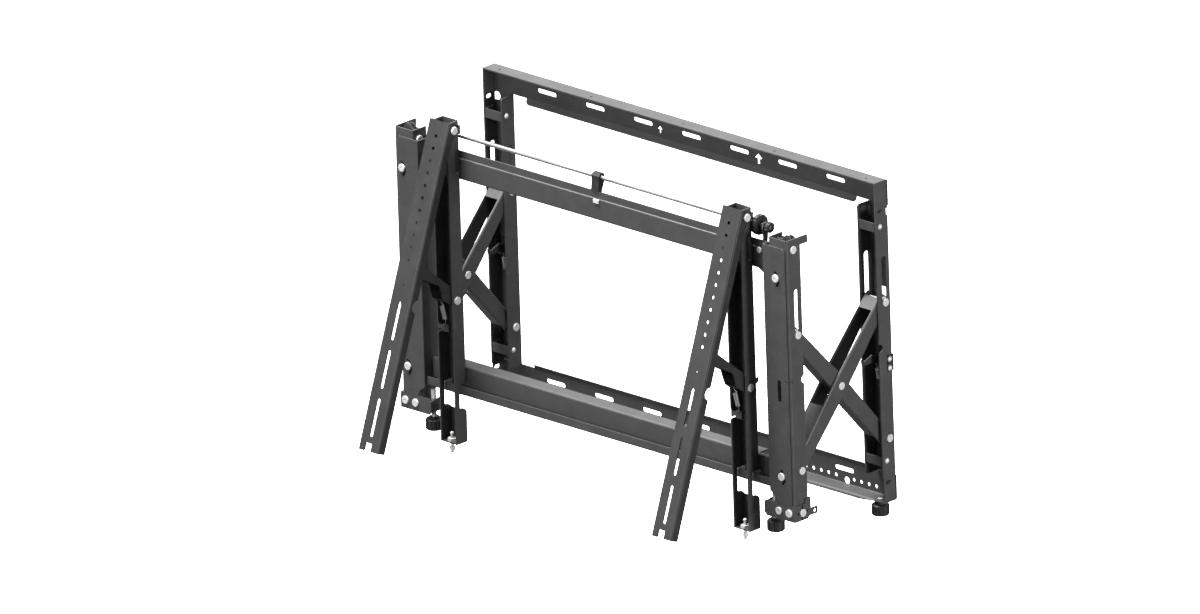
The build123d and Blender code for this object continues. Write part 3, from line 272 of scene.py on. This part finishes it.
def keep(mesh, name, finish, body):
    """Makes a finished piece of a mesh, which rides on one body."""
    bmesh.ops.recalc_face_normals(mesh, faces=mesh.faces)
    data = bpy.data.meshes.new(name)
    mesh.to_mesh(data)
    mesh.free()
    data.materials.append(finish)
    piece = bpy.data.objects.new(name, data)
    bpy.context.scene.collection.objects.link(piece)
    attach(piece, body)
    return piece


# Cut threads of 1.25 mm pitch. Each tooth starts just inside its shaft.
THREAD_PITCH = 1.25 * MM
THREAD_SIDES = 24
THREAD_TOOTH = 1.2 * MM
THREAD_DEPTH = 0.28 * MM
THREAD_ROOT = 0.3 * MM
STUD_R = 4.0 * MM
ROD_R = 3.5 * MM

# Which feet, then the stud's x and y and the ends of its thread, in bench millimetres.
FOOT_THREADS = (("front", 373.0, -217.0, 15.2, 59.6),
                ("wall", 408.0, -18.0, -5.8, -0.8))
ROD_THREAD_X = (349.0, 362.0)
ROD_Y = -204.0
ROD_Z = 493.0


def thread(name, start, end, radius):
    """The helical ridge of a thread, wound round a plain shaft between two points on its axis."""
    way = end - start
    turns = int(way.length / THREAD_PITCH) - 1
    inside = radius - THREAD_ROOT
    mesh = bmesh.new()
    tooth = mesh.faces.new([mesh.verts.new((inside, 0, 0)),
                            mesh.verts.new((radius + THREAD_DEPTH, 0, THREAD_TOOTH / 2)),
                            mesh.verts.new((inside, 0, THREAD_TOOTH))])
    bmesh.ops.spin(mesh, geom=[tooth, *tooth.edges, *tooth.verts], cent=(0, 0, 0), axis=(0, 0, 1),
                   dvec=(0, 0, THREAD_PITCH / THREAD_SIDES), angle=2 * math.pi * turns,
                   steps=turns * THREAD_SIDES)
    turn = way.to_track_quat("Z", "Y").to_matrix().to_4x4()
    mesh.transform(Matrix.Translation(start) @ turn)
    return mesh


def threads():
    """Threads on the four foot studs and on the adjuster rod beside its disc."""
    for side, sign in SIDES:
        for frame_name, x, y, low, high in FOOT_THREADS:
            foot = f"{frame_name}_{side}_foot"
            name = f"{foot}_thread"
            mesh = thread(name, bench(sign * x, y, low), bench(sign * x, y, high), STUD_R)
            keep(mesh, name, ZINC, foot)
    start, end = (bench(x, ROD_Y, ROD_Z) for x in ROD_THREAD_X)
    name = "adjuster_rod_thread"
    keep(thread(name, start, end, ROD_R), name, COAT_PAINTED_SHADE, "adjuster")


MERGE = 0.001 * MM


def stay_springs():
    """The stay springs lean back into their brackets as these close; each is copied here into a wire
    piece that rides on its upright, in place of its node.
    """
    for side, _ in SIDES:
        name = f"{side}_stay_spring"
        mesh = bmesh.new()
        mesh.from_mesh(nodes[name].data)
        mesh.transform(nodes[name].matrix_world)
        bmesh.ops.remove_doubles(mesh, verts=mesh.verts, dist=MERGE)
        piece = keep(mesh, f"{name}_wire", SPRING, f"{side}_upright")
        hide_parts(name)
        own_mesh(piece)


# Stage, lamps and camera

SKY_BELOW = 0.12
SKY_ABOVE = 0.45
SKY_START = -0.6
SKY_END = 0.9


def world():
    """A soft sky, dimmer below, which the camera, gloss and glass see as plain white."""
    made = bpy.data.worlds.new("studio")
    made.use_nodes = True
    tree = made.node_tree
    tree.nodes.clear()
    path = add(tree, "ShaderNodeLightPath")
    seen = path.outputs["Is Camera Ray"]
    for ray in ("Is Glossy Ray", "Is Transmission Ray"):
        either = [(0, seen), (1, path.outputs[ray])]
        seen = add(tree, "ShaderNodeMath", either, operation="MAXIMUM").outputs[0]
    where = add(tree, "ShaderNodeTexCoord").outputs["Generated"]
    height = add(tree, "ShaderNodeSeparateXYZ", [("Vector", where)]).outputs["Z"]
    level = add(tree, "ShaderNodeMix", [("Factor", seen)], data_type="FLOAT")
    tree.links.new(spread(tree, height, SKY_BELOW, SKY_ABOVE, SKY_START, SKY_END), level.inputs[2])
    level.inputs[3].default_value = 1.0
    back = add(tree, "ShaderNodeBackground", [("Strength", level.outputs[0])], Color=(1, 1, 1, 1))
    add(tree, "ShaderNodeOutputWorld", [("Surface", back.outputs[0])])
    bpy.context.scene.world = made


LAMP_AIM = Vector((0, -0.1, 0))

# Each lamp's name, place, width in metres and power in watts.
LAMPS = (("top_soft_light", (-0.8, -0.7, 4.0), 2.4, 1500),
         ("front_soft_light", (-0.6, -4.0, 1.0), 2.0, 180),
         ("right_soft_light", (4.0, -0.15, 0.4), 1.2, 220))


def lamp(name, place, size, power):
    data = bpy.data.lights.new(name, "AREA")
    data.shape = "DISK"
    data.size = size
    data.energy = power
    made = bpy.data.objects.new(name, data)
    bpy.context.scene.collection.objects.link(made)
    made.location = place
    made.rotation_euler = (LAMP_AIM - Vector(place)).to_track_quat("-Z", "Y").to_euler()


FLOOR_Z = -1.25
FLOOR_SIZE = 60.0
FLOOR_GLOW = 0.5


def floor():
    mesh = bmesh.new()
    bmesh.ops.create_grid(mesh, x_segments=1, y_segments=1, size=FLOOR_SIZE,
                          matrix=Matrix.Translation((0, 0, FLOOR_Z)))
    data = bpy.data.meshes.new("floor")
    mesh.to_mesh(data)
    mesh.free()
    made = bpy.data.objects.new("floor", data)
    bpy.context.scene.collection.objects.link(made)
    data.materials.append(pale_floor())


# White paper backdrop. Rays other than the camera's meet a dim grey, so that little light comes
# back up under the rails.
def pale_floor():
    made, tree = material("white_paper_backdrop")
    seen = add(tree, "ShaderNodeLightPath").outputs["Is Camera Ray"]
    paper = add(tree, "ShaderNodeBsdfDiffuse", Color=paint("f4f4f4"))
    glow = add(tree, "ShaderNodeEmission", Color=(1, 1, 1, 1), Strength=FLOOR_GLOW)
    bright = add(tree, "ShaderNodeAddShader", [(0, paper.outputs[0]), (1, glow.outputs[0])])
    dim = add(tree, "ShaderNodeBsdfDiffuse", Color=paint("505050"))
    both = add(tree, "ShaderNodeMixShader",
               [(0, seen), (1, dim.outputs[0]), (2, bright.outputs[0])])
    add(tree, "ShaderNodeOutputMaterial", [("Surface", both.outputs[0])])
    return made


# The camera projects in parallel, because the photograph's parallel lines stay parallel. A
# millimetre along x, y and z covers this many of its pixels across, and then down.
VIEW_X = Vector((0.457794, 0.442620, -0.018633))
VIEW_Y = Vector((0.135829, -0.165740, -0.599931))
# The row frame's origin in the photograph, the photograph's size, and the camera's distance.
ORIGIN_PIXEL = (696.43, 280.59)
IMAGE = (1200, 614)
CAMERA_FAR = 8.0


def camera():
    right = VIEW_X.normalized()
    up = (-VIEW_Y - right * (-VIEW_Y).dot(right)).normalized()
    back = right.cross(up)
    scale = (VIEW_X.length + VIEW_Y.length) / 2
    offset = right * (IMAGE[0] / 2 - ORIGIN_PIXEL[0]) - up * (IMAGE[1] / 2 - ORIGIN_PIXEL[1])
    aim = offset * (MM / scale)
    data = bpy.data.cameras.new("camera")
    data.type = "ORTHO"
    data.ortho_scale = IMAGE[0] / scale * MM
    made = bpy.data.objects.new("camera", data)
    bpy.context.scene.collection.objects.link(made)
    turn = Matrix((right, up, back)).transposed().to_4x4()
    made.matrix_world = Matrix.Translation(aim + back * CAMERA_FAR) @ turn
    bpy.context.scene.camera = made


dress_nodes()
threads()
stay_springs()
world()
floor()
for row in LAMPS:
    lamp(*row)
camera()
bpy.context.scene.view_settings.view_transform = "Standard"
